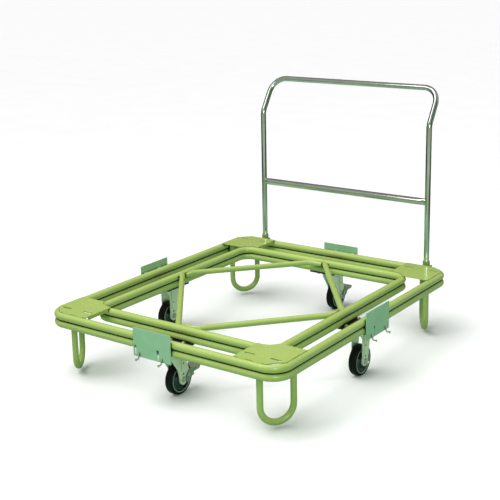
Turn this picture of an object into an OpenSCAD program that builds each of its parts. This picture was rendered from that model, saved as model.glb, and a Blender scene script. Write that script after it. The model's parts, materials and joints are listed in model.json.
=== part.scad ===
// Ring-framed platform cart: two double tube rings joined by corner plates, U-shaped
// stacking feet, a diamond of braces, four casters, link plates with hooks and a
// lift-out push handle. Millimetres, +Z up, floor at z = 0.

/* [Frame] */
// Outside width of the outer ring, along X
frame_w = 1000; // [980:5:1040]
// Outside length of the outer ring, along Y
frame_l = 1200; // [1180:5:1260]
// Height of the top of the rings above the floor
deck_h = 240; // [238:1:244]
// Outside diameter of the ring tubes
ring_d = 27.2; // [26.8:0.1:27.4]
// Wall of the ring tubes
ring_wall = 2.3; // [2:0.1:3]
// Centreline radius of the outer ring's corners
outer_corner_r = 62; // [58:1:66]
// Centreline radius of the inner ring's corners
inner_corner_r = 50; // [46:1:54]
// Clear channel between the rings at the two sides
side_channel = 75; // [74:0.5:78]
// Clear channel between the rings at the two ends
end_channel = 104; // [103:0.5:107]

/* [Braces and plates] */
// Outside diameter of the brace, foot and handle tubes
tube_d = 21.7; // [21:0.1:22.4]
// Wall of the brace and foot tubes
tube_wall = 2; // [1.6:0.1:2.6]
// Thickness of the corner and link plates
sheet_t = 3.2; // [2.8:0.1:3.6]
// Width of a slot in a corner plate
slot_w = 9; // [8:0.5:10]
// End-to-end length of a slot
slot_l = 42; // [38:1:44]
// Distance between the two slots of a corner plate
slot_pitch = 99; // [97:0.5:101]

/* [Link plates] */
// Width of a link plate
link_w = 160; // [150:1:170]
// Height of a link plate
link_h = 100; // [98:1:104]
// Diameter of the hook rod
hook_d = 5; // [4.6:0.1:5.4]
// Drop of a hook from its pivot to its nose
hook_reach = 19.5; // [18.5:0.5:20.5]

/* [Casters] */
// Wheel diameter
wheel_d = 112; // [108:1:114]
// Width of the tyre
tyre_w = 31; // [28:0.5:32]
// Distance from the swivel axis back to the axle
trail = 45; // [44:0.5:46]
// Axle diameter
axle_d = 10; // [9.6:0.1:10.4]
// Thickness of the pressed fork
fork_t = 3.2; // [3:0.1:3.4]

/* [Handle] */
// Height of the top of the handle above the floor
handle_h = 943; // [930:1:960]
// Distance between the two uprights
handle_span = 778; // [770:2:786]
// Height of the crossbar's centre above the floor
crossbar_z = 494; // [440:2:540]
// Outside diameter of the crossbar
crossbar_d = 27.2; // [26:0.1:28]
// Height at which the uprights start to lean back
lean_start_z = 783.6; // [770:0.2:795]

/* [Hidden] */
$fn = 64;

paint = [0.72, 0.80, 0.47];
zinc = [0.50, 0.69, 0.53];
fork_zinc = [0.66, 0.70, 0.56];
rubber = [0.07, 0.07, 0.08];

// Gap left where two welded tubes lie along each other
seam = 0.1;
// Radial clearance of a pin that turns in a hole
running = 0.06;
ring_r = ring_d/2;
tube_r = tube_d/2;
upper_z = deck_h - ring_r;
lower_z = upper_z - ring_d - seam;
ring_bottom = lower_z - ring_r;
outer_hx = frame_w/2 - ring_r;
outer_hy = frame_l/2 - ring_r;
inner_hx = outer_hx - side_channel - ring_d;
inner_hy = outer_hy - end_channel - ring_d;
side_x = (outer_hx + inner_hx)/2;
end_y = (outer_hy + inner_hy)/2;
drain_r = 3;
drain_x = 220;
// Cosine of the bent braces' angle to the X axis, about 48.8 degrees
brace_cos = 0.658944;

// Link plates and hooks
link_stand_off = 7;
link_top = deck_h + 24.4;
link_bottom = link_top - link_h;
link_strip_w = 12;
link_strips = [62, -20];
link_strip_in = 6;
link_strip_over = 12;
pivot_z = deck_h - 60.6;
keyhole_z = pivot_z + 19;
keyhole_r = 5.5;
keyslot_w = hook_d + 1;
hook_pivots = [-54, 43];
// Sideways step between the patterns of two plates that link, which face each other
hook_stagger = 2;
hook_bend_r = 4;
hook_out = 4.5;
hook_nose = 20;
hook_head_r = 4.2;

// Handle
handle_y = frame_l/2 + 13;
handle_wall = 1.8;
handle_bend_r = 50;
handle_corner_r = 65;
// Backward lean of the handle's top, about 32.5 degrees
handle_lean = acos(0.8432);
socket_r = 14;
socket_bore = tube_r + 0.3;
socket_bottom = deck_h - 58;
socket_top = deck_h + 14;
socket_floor = 5;
lean_y = handle_y + handle_bend_r*(1 - cos(handle_lean));
lean_z = lean_start_z + handle_bend_r*sin(handle_lean);
lean_l = hundredth((handle_h - tube_r - lean_z)/cos(handle_lean));
handle_back = lean_y + lean_l*sin(handle_lean) + tube_r;

// The cart is moved along Y so that its bounding box is centred on the origin
hook_front = frame_l/2 + link_stand_off + hook_nose;
cart_y = (hook_front - handle_back)/2;

// Casters
axle_z = wheel_d/2;
axle_r = axle_d/2;
mount_t = ring_bottom - 179;
plate_t = 4;
plate_w = 76;
plate_l = 108;
plate_z = ring_bottom - mount_t - plate_t;
bolt_x = 28;
bolt_y = 44;
bolt_r = 4;
bolt_head_r = 7.5;
bolt_head_h = 5.3;
fork_gap = 40;
fork_outer = fork_gap/2 + fork_t;
crown_r = 30;
crown_top = plate_z - 11.8;
kingpin_r = 6;
rim_r = 0.85*wheel_d/2;
bearing_r = 11.5;
boss_r = 18;
boss_w = 37;
eye_r = 19;
lever_pin = [trail + 23, axle_z + 10];
lever_pin_r = 4;
lever_t = 2.6;
lever_gap = 0.4;

// ---------------------------------------------------------------- helpers

function hundredth(v) = round(100*v)/100;
function unit(v) = v/norm(v);
function heading(v) = atan2(v.y, v.x);
function left_of(v) = [-v.y, v.x];
function turn_at(points, i) =
    let (a = points[i] - points[i - 1], b = points[i + 1] - points[i])
    atan2(a.x*b.y - a.y*b.x, a.x*b.x + a.y*b.y);
function arc(centre, r, from, to, steps = 6) =
    [for (i = [0:steps]) let (t = from + (to - from)*i/steps) centre + r*[cos(t), sin(t)]];

module on_cart() {
    translate([0, cart_y, 0]) children();
}

// Places a child whose +X points outwards at one side of the frame
module at_side(angle, reach) {
    on_cart() rotate([0, 0, angle]) translate([reach, 0, 0]) children();
}

// A rounded rectangular loop of round rod in the XY plane
module loop_rod(hx, hy, corner_r, r) {
    for (side = [-1, 1]) {
        translate([side*hx, 0, 0]) rotate([90, 0, 0])
            cylinder(r = r, h = 2*(hy - corner_r), center = true);
        translate([0, side*hy, 0]) rotate([0, 90, 0])
            cylinder(r = r, h = 2*(hx - corner_r), center = true);
    }
    for (quarter = [0:3]) {
        sx = quarter == 0 || quarter == 3 ? 1 : -1;
        sy = quarter < 2 ? 1 : -1;
        translate([sx*(hx - corner_r), sy*(hy - corner_r), 0])
            rotate([0, 0, 90*quarter]) rotate_extrude(angle = 90)
                translate([corner_r, 0]) circle(r = r);
    }
}

// A round rod through points in the XY plane, with one bend radius
module bent_rod(points, bend_r, r) {
    last = len(points) - 1;
    cuts = [for (i = [0:last]) i == 0 || i == last ? 0 : bend_r*tan(abs(turn_at(points, i))/2)];
    for (i = [0:last - 1]) {
        step = points[i + 1] - points[i];
        start = points[i] + cuts[i]*unit(step);
        translate([start.x, start.y, 0]) rotate([0, 0, heading(step)]) rotate([0, 90, 0])
            cylinder(r = r, h = norm(step) - cuts[i] - cuts[i + 1]);
    }
    if (last > 1)
        for (i = [1:last - 1]) {
            along = unit(points[i] - points[i - 1]);
            turn = turn_at(points, i);
            side = sign(turn);
            centre = points[i] - cuts[i]*along + side*bend_r*left_of(along);
            from = heading(along) - 90*side;
            translate([centre.x, centre.y, 0])
                rotate([0, 0, side > 0 ? from : from + turn])
                    rotate_extrude(angle = abs(turn)) translate([bend_r, 0]) circle(r = r);
        }
}

// The straight stretches of both rings' tubes, grown by a clearance, to cut saddles
module ring_saddles(clearance) {
    for (z = [upper_z, lower_z])
        for (side = [-1, 1]) {
            for (x = [outer_hx, inner_hx])
                translate([side*x, 0, z]) rotate([90, 0, 0])
                    cylinder(r = ring_r + clearance, h = frame_l, center = true);
            for (y = [outer_hy, inner_hy])
                translate([0, side*y, z]) rotate([0, 90, 0])
                    cylinder(r = ring_r + clearance, h = frame_w, center = true);
        }
}

// ---------------------------------------------------------------- frame

module ring_loop(hx, hy, corner_r, z) {
    color(paint) on_cart() translate([0, 0, z])
        difference() {
            loop_rod(hx, hy, corner_r, ring_r);
            loop_rod(hx, hy, corner_r, ring_r - ring_wall);
            translate([drain_x, -hy, -ring_r - 1]) cylinder(r = drain_r, h = ring_r);
        }
}

module corner_outline() {
    edge_x = 318;
    edge_y = 422;
    chamfer = 45;
    c = [inner_hx - inner_corner_r, inner_hy - inner_corner_r];
    from = asin((edge_y - c.y)/inner_corner_r);
    polygon(concat(
        [[edge_x, inner_hy], [edge_x, outer_hy], [outer_hx - chamfer, outer_hy],
         [outer_hx, outer_hy - chamfer], [outer_hx, edge_y]],
        arc(c, inner_corner_r, from, 90, 8)
    ));
}

module corner_plate(sx, sy) {
    slot_y = outer_hy - 45;
    slot_x = 399;
    flange_drop = 10;
    gap_mid = (outer_hy + inner_hy)/2;
    mirror([sx < 0 ? 1 : 0, 0, 0]) mirror([0, sy < 0 ? 1 : 0, 0]) {
        difference() {
            union() {
                translate([0, 0, deck_h]) linear_extrude(sheet_t) corner_outline();
                translate([318, gap_mid - 49, deck_h - flange_drop])
                    cube([sheet_t, 98, flange_drop + 0.5]);
            }
            for (side = [-1, 1])
                translate([slot_x + side*slot_pitch/2, slot_y, deck_h - 1])
                    linear_extrude(sheet_t + 2) {
                        square([slot_l - slot_w, slot_w], center = true);
                        for (end = [-1, 1])
                            translate([end*(slot_l - slot_w)/2, 0]) circle(r = slot_w/2);
                    }
        }
    }
}

module foot(sx, sy) {
    leg_a = [outer_hx - ring_r - tube_r - seam, 465];
    leg_b = [399, outer_hy - ring_r - tube_r - seam];
    half = norm(leg_a - leg_b)/2;
    lowest = 10.3;
    bend_z = lowest + tube_r + half;
    top = deck_h;
    mid = (leg_a + leg_b)/2;
    mirror([sx < 0 ? 1 : 0, 0, 0]) mirror([0, sy < 0 ? 1 : 0, 0])
        translate([mid.x, mid.y, 0]) rotate([0, 0, heading(leg_a - leg_b)]) rotate([90, 0, 0])
            difference() {
                bent_u(half, bend_z, top, tube_r);
                bent_u(half, bend_z, top, tube_r - tube_wall);
            }
}

// An upright U in the XY plane: two legs and a half-round bottom
module bent_u(half, bend_z, top, r) {
    for (side = [-1, 1])
        translate([side*half, bend_z, 0]) rotate([-90, 0, 0]) cylinder(r = r, h = top - bend_z);
    translate([0, bend_z, 0]) rotate([0, 0, 180])
        rotate_extrude(angle = 180) translate([half, 0]) circle(r = r);
}

// An elbow of round rod in the XY plane: a torus cut at angle 0 and at the turn's angle
module elbow(turn, bend_r, r) {
    reach = 2*(bend_r + r);
    intersection() {
        rotate_extrude() translate([bend_r, 0]) circle(r = r);
        translate([-reach, 0, -reach]) cube(2*reach);
        rotate([0, 0, turn]) translate([-reach, -2*reach, -reach]) cube(2*reach);
    }
}

// A round rod from the origin along +X, bent to the left after every length but the last
module rod_chain(lengths, turns, bend_r, r, i = 0) {
    rotate([0, 90, 0]) cylinder(r = r, h = lengths[i]);
    if (i < len(turns))
        translate([lengths[i], bend_r, 0]) {
            rotate([0, 0, -90]) elbow(turns[i], bend_r, r);
            rotate([0, 0, turns[i]]) translate([0, -bend_r, 0])
                rod_chain(lengths, turns, bend_r, r, i + 1);
        }
}

// Braces that end in a bend and lie along the inner ring
module brace_pair_bent() {
    bend_r = 40;
    first = 22;
    last = 15;
    turn = acos(brace_cos);
    along_x = inner_hx - ring_r - tube_r - seam;
    along_y = inner_hy - ring_r - tube_r - seam;
    lengths = [first, hundredth((along_x - bend_r - first)/brace_cos), last];
    for (half_turn = [0, 180])
        rotate([0, 0, half_turn]) translate([0, -along_y, upper_z])
            difference() {
                rod_chain(lengths, [turn, 90 - turn], bend_r, tube_r);
                rod_chain(lengths, [turn, 90 - turn], bend_r, tube_r - tube_wall);
            }
}

// Braces that run straight and are cut to a saddle at the inner ring
module brace_pair_straight() {
    end_side = [inner_hx, -29];
    end_back = [6, inner_hy + 6];
    run = end_side - end_back;
    difference() {
        for (half_turn = [0, 180])
            rotate([0, 0, half_turn]) translate([end_back.x, end_back.y, upper_z])
                rotate([0, 0, heading(run)]) rotate([0, 90, 0])
                    difference() {
                        cylinder(r = tube_r, h = norm(run));
                        translate([0, 0, -1]) cylinder(r = tube_r - tube_wall, h = norm(run) + 2);
                    }
        ring_saddles(seam/2);
        for (side = [-1, 1]) {
            translate([side*(inner_hx + ring_r), 0, upper_z])
                cube([2*ring_r, 300, 3*ring_r], center = true);
            translate([0, side*(inner_hy + ring_r), upper_z])
                cube([300, 2*ring_r, 3*ring_r], center = true);
        }
    }
}

// ---------------------------------------------------------------- link plates

// A flat plate held clear of the ring tubes by two upright strips
module link_plate(angle, half_frame, hand) {
    color(zinc) at_side(angle, half_frame)
        difference() {
            union() {
                translate([link_stand_off - sheet_t, -link_w/2, link_bottom])
                    cube([sheet_t, link_w, link_h]);
                for (y = link_strips)
                    translate([-link_strip_in, hand*y - link_strip_w/2, lower_z - link_strip_over])
                        cube([link_strip_in + link_stand_off - sheet_t/2, link_strip_w,
                              upper_z - lower_z + 2*link_strip_over]);
            }
            for (z = [upper_z, lower_z])
                translate([-ring_r, 0, z]) rotate([90, 0, 0])
                    cylinder(r = ring_r + seam, h = link_w + 2, center = true);
            for (i = [0, 1]) {
                translate([0, pivot_y(hand, i), pivot_z]) rotate([0, 90, 0])
                    cylinder(r = hook_d/2 + running, h = 20);
                translate([0, key_y(hand, i), keyhole_z]) rotate([0, 90, 0])
                    cylinder(r = keyhole_r, h = 20);
                translate([0, key_y(hand, i), (keyhole_z + pivot_z)/2 - 4]) rotate([0, 90, 0])
                    linear_extrude(20) square([keyhole_z - pivot_z + 8, keyslot_w], center = true);
            }
        }
}

// Places along a plate of hook i's pivot and of the keyhole that takes a neighbour's hook.
// The nose of a hook that is swung level stands before the neighbour's keyhole.
function pivot_y(hand, i) = hand*hook_pivots[i] - (hand < 0 ? hook_stagger : 0);
function key_y(hand, i) = hand*(hook_pivots[i] - hook_reach) + (hand > 0 ? hook_stagger : 0);

// A hook at rest: stem through the plate, arm hanging down, nose pointing outwards
module hook(angle, half_frame, y) {
    r = hook_d/2;
    plate_in = link_stand_off - sheet_t;
    head_gap = 0.3;
    head_t = 1.5;
    axis_x = link_stand_off + hook_out;
    route = [[plate_in - head_gap - 0.5, 0], [axis_x, 0], [axis_x, -hook_reach],
             [link_stand_off + hook_nose - 2, -hook_reach]];
    color(zinc) at_side(angle, half_frame) translate([0, y, pivot_z]) {
        rotate([90, 0, 0]) bent_rod(route, hook_bend_r, r);
        translate([plate_in - head_gap - head_t, 0, 0]) rotate([0, 90, 0])
            cylinder(r = hook_head_r, h = head_t);
        translate([link_stand_off + hook_nose - 2, 0, -hook_reach]) rotate([0, 90, 0])
            cylinder(r = hook_head_r, h = 2);
    }
}

// ---------------------------------------------------------------- casters

module caster_mounts_side() {
    for (side = [-1, 1])
        translate([side*side_x, 0, ring_bottom - mount_t/2])
            difference() {
                cube([110, 124, mount_t], center = true);
                caster_holes();
            }
}

module caster_mounts_end() {
    for (side = [-1, 1])
        translate([0, side*end_y, ring_bottom - mount_t/2])
            difference() {
                cube([110, 138, mount_t], center = true);
                caster_holes();
            }
}

// Four bolt holes in the caster pattern
module caster_holes() {
    for (x = [-bolt_x, bolt_x])
        for (y = [-bolt_y, bolt_y])
            translate([x, y, 0]) cylinder(r = bolt_r + 0.4, h = 30, center = true);
}

module caster_bolt() {
    grip_top = ring_bottom;
    translate([0, 0, plate_z - bolt_head_h]) cylinder(r = bolt_head_r, h = bolt_head_h, $fn = 6);
    translate([0, 0, plate_z - 1]) cylinder(r = bolt_r, h = grip_top - plate_z + 10);
    translate([0, 0, grip_top]) cylinder(r = bolt_head_r, h = 6.5, $fn = 6);
}

// The four places where a caster is bolted on
module at_casters() {
    for (side = [-1, 1]) {
        translate([side*side_x, 0, 0]) children();
        translate([0, side*end_y, 0]) children();
    }
}

module caster_bolts() {
    on_cart() at_casters()
        for (x = [-bolt_x, bolt_x])
            for (y = [-bolt_y, bolt_y])
                translate([x, y, 0]) caster_bolt();
}

// Plate that a caster hangs from, with its bolt holes
module caster_plate() {
    difference() {
        translate([0, 0, plate_z + plate_t/2]) cube([plate_w, plate_l, plate_t], center = true);
        translate([0, 0, plate_z]) caster_holes();
    }
}

// One pressed side of a fork, drawn in the YZ plane on the +X side
module fork_leg(outline, eye, rib) {
    translate([fork_gap/2, 0, 0]) rotate([90, 0, 90])
        difference() {
            union() {
                linear_extrude(fork_t) {
                    polygon(outline);
                    translate(eye) circle(r = eye_r);
                }
                linear_extrude(fork_t + 1.5) polygon(rib);
            }
            translate([eye.x, eye.y, -1]) cylinder(r = axle_r + 0.1, h = 20);
            translate([eye.x, eye.y + 19, -1]) cylinder(r = 4, h = 20);
            translate([eye.x, eye.y + 58, -1]) cylinder(r = 3, h = 20);
        }
}

module rigid_fork() {
    outline = [[-eye_r, axle_z - 2], [eye_r, axle_z - 2], [35, plate_z - 30], [35, plate_z + 0.5],
               [-35, plate_z + 0.5], [-35, plate_z - 14], [-eye_r, plate_z - 34]];
    rib = [[-9, axle_z + 30], [9, axle_z + 30], [12, plate_z], [-12, plate_z]];
    caster_plate();
    for (flip = [0, 1])
        mirror([flip, 0, 0]) fork_leg(outline, [0, axle_z], rib);
}

module swivel_plate() {
    difference() {
        union() {
            caster_plate();
            translate([0, 0, plate_z - 7]) rotate_extrude() translate([18, 0]) square([11, 7.5]);
        }
        translate([0, 0, plate_z - 10]) cylinder(r = kingpin_r, h = 20);
    }
}

module kingpin() {
    translate([0, 0, crown_top - 16]) cylinder(r = kingpin_r, h = plate_z + plate_t - crown_top + 16);
    translate([0, 0, crown_top - fork_t - 9.4]) cylinder(r = 10, h = 9, $fn = 6);
}

module swivel_fork() {
    outline = [[-26, crown_top], [-20, crown_top - 14], [trail - 29, axle_z + 42],
               [trail - eye_r, axle_z], [trail + 31, axle_z - 4], [trail + 31, axle_z + 27],
               [trail + 21, axle_z + 54], [trail + 17, crown_top]];
    rib = [[trail - 8, axle_z + 30], [trail + 8, axle_z + 30], [trail + 10, crown_top - 8],
           [trail - 14, crown_top - 8]];
    difference() {
        union() {
            for (flip = [0, 1])
                mirror([flip, 0, 0]) fork_leg(outline, [trail, axle_z], rib);
            translate([0, 0, crown_top - fork_t]) linear_extrude(fork_t) {
                circle(r = crown_r);
                translate([-fork_gap/2 - 0.5, -26]) square([fork_gap + 1, trail + 17 + 26]);
            }
        }
        translate([0, 0, crown_top - 10]) cylinder(r = kingpin_r + running, h = 20);
        translate([0, lever_pin.x, lever_pin.y]) rotate([0, 90, 0])
            cylinder(r = lever_pin_r + 0.1, h = 2*fork_outer + 2, center = true);
    }
}

// Caged balls between the swivel plate's race and the fork's crown
module ball_race() {
    ball_r = 2;
    ring = 23.5;
    translate([0, 0, crown_top + 2.4]) {
        rotate_extrude() translate([ring - 1.8, -0.6]) square([3.6, 1.2]);
        for (i = [0:15])
            rotate([0, 0, 22.5*i]) translate([ring, 0, 0]) sphere(r = ball_r, $fn = 24);
    }
}

// Axle with a hex head, a nut and two washers, along X
module axle() {
    reach = fork_outer;
    rotate([0, 90, 0]) {
        cylinder(r = axle_r, h = 2*reach + 16, center = true);
        translate([0, 0, reach]) cylinder(r = 8.6, h = 6, $fn = 6);
        translate([0, 0, -reach - 6]) cylinder(r = 8.6, h = 6, $fn = 6);
    }
}

module fork_fasteners() {
    head_t = 2;
    pin_l = fork_t + 2*lever_gap + lever_t + 1;
    translate([0, trail, axle_z]) axle();
    for (flip = [0, 1])
        mirror([flip, 0, 0]) translate([fork_outer - fork_t, lever_pin.x, lever_pin.y])
            rotate([0, 90, 0]) {
                cylinder(r = lever_pin_r, h = pin_l);
                translate([0, 0, fork_t + 2*lever_gap + lever_t]) cylinder(r = 6.5, h = head_t);
            }
}

// Two arms outside the fork, a tread plate behind the tyre and a shoe bar under it
module brake_pedal() {
    arm_in = fork_outer + lever_gap;
    arm = [[trail + 13, axle_z - 14], [trail + 40, axle_z - 4], [trail + 53, axle_z + 12],
           [trail + 68, axle_z + 13], [trail + 68, axle_z + 20], [trail + 34, axle_z + 30],
           [trail + 13, axle_z + 10]];
    tread = [[trail + 60, axle_z + 13], [trail + 80, axle_z + 13], [trail + 89, axle_z + 21],
             [trail + 87, axle_z + 24], [trail + 78.6, axle_z + 16.2], [trail + 60, axle_z + 16.2]];
    width = 2*(arm_in + lever_t);
    difference() {
        union() {
            for (side = [-1, 1])
                translate([side > 0 ? arm_in : -arm_in - lever_t, 0, 0])
                    rotate([90, 0, 90]) linear_extrude(lever_t) polygon(arm);
            translate([-width/2, 0, 0]) rotate([90, 0, 90]) linear_extrude(width) polygon(tread);
            translate([-15, trail + 61.4, axle_z - 4]) cube([30, 3, 18]);
            translate([0, trail + 62.9, axle_z - 4]) rotate([0, 90, 0])
                cylinder(r = 4, h = 30, center = true);
        }
        translate([0, lever_pin.x, lever_pin.y]) rotate([0, 90, 0])
            cylinder(r = lever_pin_r + running, h = width + 2, center = true);
        translate([0, trail, axle_z]) rotate([0, 90, 0])
            cylinder(r = 12, h = width + 2, center = true);
    }
}

module tyre() {
    r = wheel_d/2;
    half = tyre_w/2;
    shoulder = 6;
    rotate([0, 90, 0]) rotate_extrude()
        polygon(concat(
            [[rim_r, -half], [r - shoulder, -half]],
            arc([r - shoulder, shoulder - half], shoulder, -80, 0),
            arc([r - shoulder, half - shoulder], shoulder, 0, 80),
            [[r - shoulder, half], [rim_r, half]]
        ));
}

module hub() {
    rim_in = rim_r - 6.6;
    rotate([0, 90, 0]) rotate_extrude()
        polygon([[bearing_r, -boss_w/2], [boss_r, -boss_w/2], [boss_r, -8], [boss_r + 4, -4],
                 [rim_in - 4, -4], [rim_in, -13], [rim_r - 0.02, -13],
                 [rim_r - 0.02, 13], [rim_in, 13], [rim_in - 4, 4],
                 [boss_r + 4, 4], [boss_r, 8], [boss_r, boss_w/2], [bearing_r, boss_w/2]]);
}

module bearing() {
    rotate([0, 90, 0]) rotate_extrude()
        polygon([[axle_r + running, -boss_w/2 - 0.8], [axle_r + 3, -boss_w/2 - 0.8],
                 [axle_r + 3, -boss_w/2 + 1], [bearing_r - 0.02, -boss_w/2 + 1],
                 [bearing_r - 0.02, boss_w/2 - 1], [axle_r + 3, boss_w/2 - 1],
                 [axle_r + 3, boss_w/2 + 0.8], [axle_r + running, boss_w/2 + 0.8]]);
}

module at_rigid(side) {
    on_cart() translate([side*side_x, 0, axle_z]) children();
}

module at_swivel(side) {
    on_cart() translate([0, side*end_y, 0]) children();
}

module at_swivel_axle(side) {
    at_swivel(side) translate([0, trail, axle_z]) children();
}

// ---------------------------------------------------------------- handle

module handle_socket() {
    difference() {
        translate([0, handle_y, socket_bottom])
            cylinder(r = socket_r, h = socket_top - socket_bottom);
        translate([0, handle_y, socket_bottom + socket_floor])
            cylinder(r = socket_bore, h = socket_top - socket_bottom);
        translate([0, handle_y, socket_bottom - 1]) cylinder(r = 4, h = socket_floor + 2);
        for (z = [upper_z, lower_z])
            translate([0, outer_hy, z]) rotate([0, 90, 0])
                cylinder(r = ring_r + seam/2, h = 3*socket_r, center = true);
        translate([0, handle_y, socket_top - 20]) rotate([0, 90, 0]) cylinder(r = 4, h = 30);
    }
}

module handle_sockets() {
    for (side = [-1, 1])
        translate([side*handle_span/2, 0, 0]) handle_socket();
}

module socket_screws() {
    for (side = [-1, 1])
        translate([side*handle_span/2 + tube_r + 0.4, handle_y, socket_top - 20])
            rotate([0, 90, 0]) {
                cylinder(r = 3.95, h = 10);
                translate([0, 0, 6]) cylinder(r = 7.5, h = 5.5, $fn = 6);
            }
}

// The handle's centreline as rod of one radius
module handle_rod(r) {
    half = handle_span/2;
    foot_z = socket_bottom + socket_floor + 0.05;
    for (side = [-1, 1]) {
        translate([side*half, handle_y, foot_z]) cylinder(r = r, h = lean_start_z - foot_z);
        translate([side*half, handle_y + handle_bend_r, lean_start_z]) rotate([90, 0, -90])
            elbow(handle_lean, handle_bend_r, r);
    }
    translate([0, handle_y + handle_bend_r, lean_start_z]) rotate([-handle_lean, 0, 0])
        translate([0, -handle_bend_r, 0]) {
            for (side = [-1, 1]) {
                translate([side*half, 0, 0]) cylinder(r = r, h = lean_l - handle_corner_r);
                translate([side*(half - handle_corner_r), 0, lean_l - handle_corner_r])
                    rotate([90, 0, 0]) rotate([0, 0, side > 0 ? 0 : 90])
                        rotate_extrude(angle = 90) translate([handle_corner_r, 0]) circle(r = r);
            }
            translate([0, 0, lean_l]) rotate([0, 90, 0])
                cylinder(r = r, h = 2*(half - handle_corner_r), center = true);
        }
}

module handle_tube() {
    color("silver") on_cart()
        difference() {
            handle_rod(tube_r);
            handle_rod(tube_r - handle_wall);
        }
}

module handle_crossbar() {
    half = handle_span/2;
    color("silver") on_cart()
        difference() {
            translate([0, handle_y, crossbar_z]) rotate([0, 90, 0])
                cylinder(r = crossbar_d/2, h = 2*half, center = true);
            translate([0, handle_y, crossbar_z]) rotate([0, 90, 0])
                cylinder(r = crossbar_d/2 - handle_wall, h = 2*half + 2, center = true);
            for (side = [-1, 1])
                translate([side*half, handle_y, crossbar_z])
                    cylinder(r = tube_r + seam/2, h = 60, center = true);
            for (side = [-1, 1])
                translate([side*(half + 20), handle_y, crossbar_z])
                    cube([40, 60, 60], center = true);
        }
}

// ---------------------------------------------------------------- output

ring_loop(outer_hx, outer_hy, outer_corner_r, upper_z);  // outer_ring_upper
ring_loop(outer_hx, outer_hy, outer_corner_r, lower_z);  // outer_ring_lower
ring_loop(inner_hx, inner_hy, inner_corner_r, upper_z);  // inner_ring_upper
ring_loop(inner_hx, inner_hy, inner_corner_r, lower_z);  // inner_ring_lower
color(paint) on_cart() corner_plate(-1, -1);  // corner_plate_front_left
color(paint) on_cart() corner_plate(1, -1);  // corner_plate_front_right
color(paint) on_cart() corner_plate(-1, 1);  // corner_plate_back_left
color(paint) on_cart() corner_plate(1, 1);  // corner_plate_back_right
color(paint) on_cart() foot(-1, -1);  // foot_front_left
color(paint) on_cart() foot(1, -1);  // foot_front_right
color(paint) on_cart() foot(-1, 1);  // foot_back_left
color(paint) on_cart() foot(1, 1);  // foot_back_right
color(paint) on_cart() brace_pair_bent();
color(paint) on_cart() brace_pair_straight();
link_plate(-90, frame_l/2, 1);  // link_plate_front
link_plate(0, frame_w/2, -1);  // link_plate_right
link_plate(90, frame_l/2, -1);  // link_plate_back
link_plate(180, frame_w/2, 1);  // link_plate_left
hook(-90, frame_l/2, pivot_y(1, 0));  // hook_front_a
hook(-90, frame_l/2, pivot_y(1, 1));  // hook_front_b
hook(0, frame_w/2, pivot_y(-1, 0));  // hook_right_a
hook(0, frame_w/2, pivot_y(-1, 1));  // hook_right_b
hook(90, frame_l/2, pivot_y(-1, 0));  // hook_back_a
hook(90, frame_l/2, pivot_y(-1, 1));  // hook_back_b
hook(180, frame_w/2, pivot_y(1, 0));  // hook_left_a
hook(180, frame_w/2, pivot_y(1, 1));  // hook_left_b
color("dimgray") on_cart() caster_mounts_side();
color("dimgray") on_cart() caster_mounts_end();
color("silver") caster_bolts();
color(fork_zinc) on_cart() translate([-side_x, 0, 0]) rigid_fork();  // rigid_fork_left
color(fork_zinc) on_cart() translate([side_x, 0, 0]) rigid_fork();  // rigid_fork_right
color("silver") {  // rigid_axles
    at_rigid(-1) axle();
    at_rigid(1) axle();
}
color(rubber) at_rigid(-1) tyre();  // left_tyre
color("dimgray") at_rigid(-1) hub();  // left_hub
color("silver") at_rigid(-1) bearing();  // left_bearing
color(rubber) at_rigid(1) tyre();  // right_tyre
color("dimgray") at_rigid(1) hub();  // right_hub
color("silver") at_rigid(1) bearing();  // right_bearing
color(fork_zinc) {  // swivel_plates
    at_swivel(-1) swivel_plate();
    at_swivel(1) swivel_plate();
}
color("silver") {  // kingpins
    at_swivel(-1) kingpin();
    at_swivel(1) kingpin();
}
color(fork_zinc) at_swivel(-1) swivel_fork();  // front_fork
color("silver") at_swivel(-1) ball_race();  // front_ball_race
color("silver") at_swivel(-1) fork_fasteners();  // front_fork_fasteners
color(fork_zinc) at_swivel(-1) brake_pedal();  // front_brake_pedal
color(rubber) at_swivel_axle(-1) tyre();  // front_tyre
color("dimgray") at_swivel_axle(-1) hub();  // front_hub
color("silver") at_swivel_axle(-1) bearing();  // front_bearing
color(fork_zinc) at_swivel(1) swivel_fork();  // back_fork
color("silver") at_swivel(1) ball_race();  // back_ball_race
color("silver") at_swivel(1) fork_fasteners();  // back_fork_fasteners
color(fork_zinc) at_swivel(1) brake_pedal();  // back_brake_pedal
color(rubber) at_swivel_axle(1) tyre();  // back_tyre
color("dimgray") at_swivel_axle(1) hub();  // back_hub
color("silver") at_swivel_axle(1) bearing();  // back_bearing
color("dimgray") on_cart() handle_sockets();
color("silver") on_cart() socket_screws();
handle_tube();
handle_crossbar();
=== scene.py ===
import json
import math

import bmesh
import bpy
from mathutils import Matrix, Vector, noise


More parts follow.
